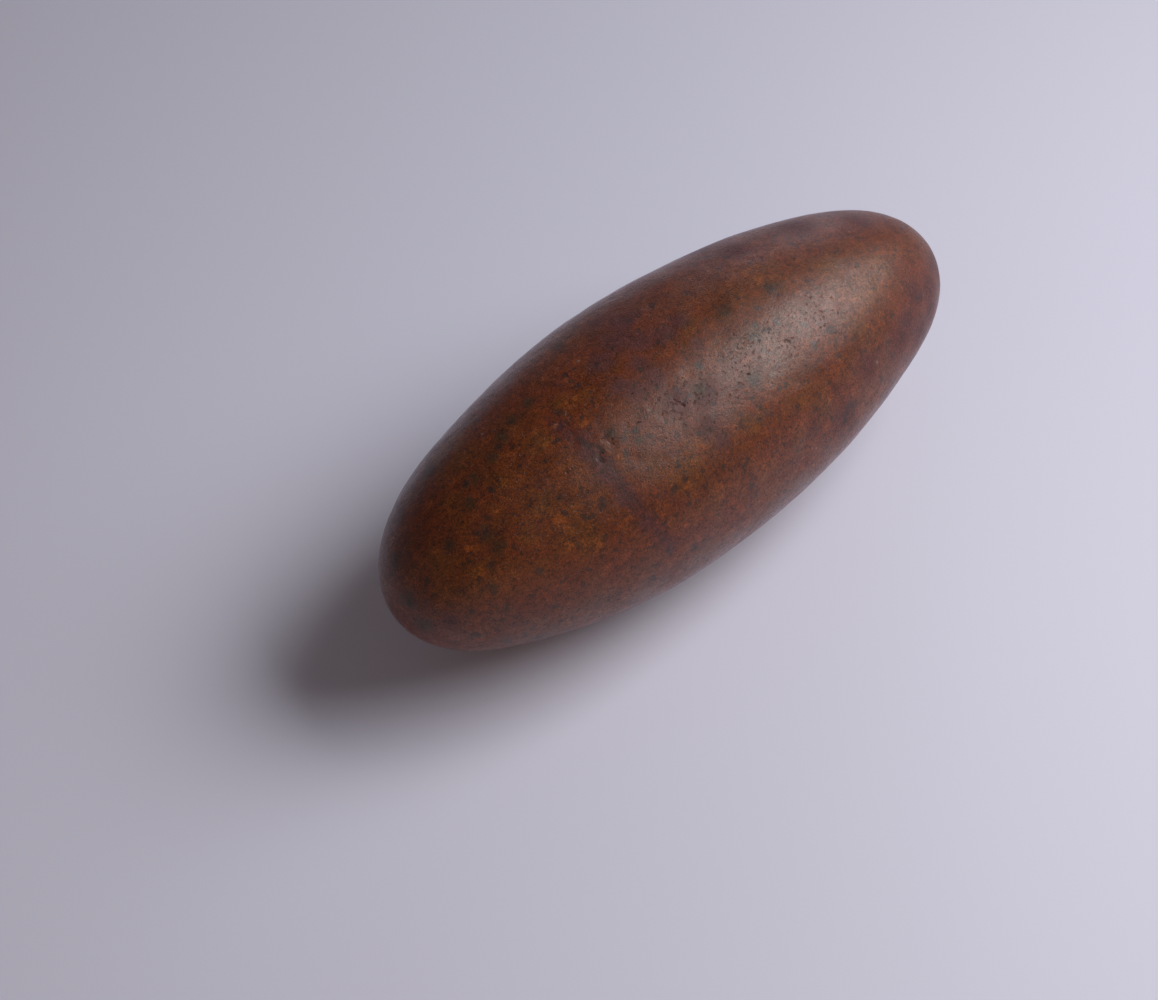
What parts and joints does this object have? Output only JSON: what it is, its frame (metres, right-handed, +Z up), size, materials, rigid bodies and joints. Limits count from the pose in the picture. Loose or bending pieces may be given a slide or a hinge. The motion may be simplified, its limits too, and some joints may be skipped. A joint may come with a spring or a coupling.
{
  "type": "shiva lingam",
  "caption": "Smooth, river-worn, egg-long stone of mottled brown jasper, lying on its side on a small worn flat.",
  "frame": {"origin": "under the middle of the stone, on the surface that it lies on", "axes": "+X along the stone towards its slimmer nose, +Z up, as it lies on its worn flat"},
  "size_m": [0.102, 0.041, 0.0385],
  "materials": {
    "brown_jasper": "mottled brown jasper with rust and plum patches, rubbed to a satin polish, finely pitted"
  },
  "bodies": {
    "root": {"lingam_stone": "brown_jasper"}
  },
  "joints": []
}
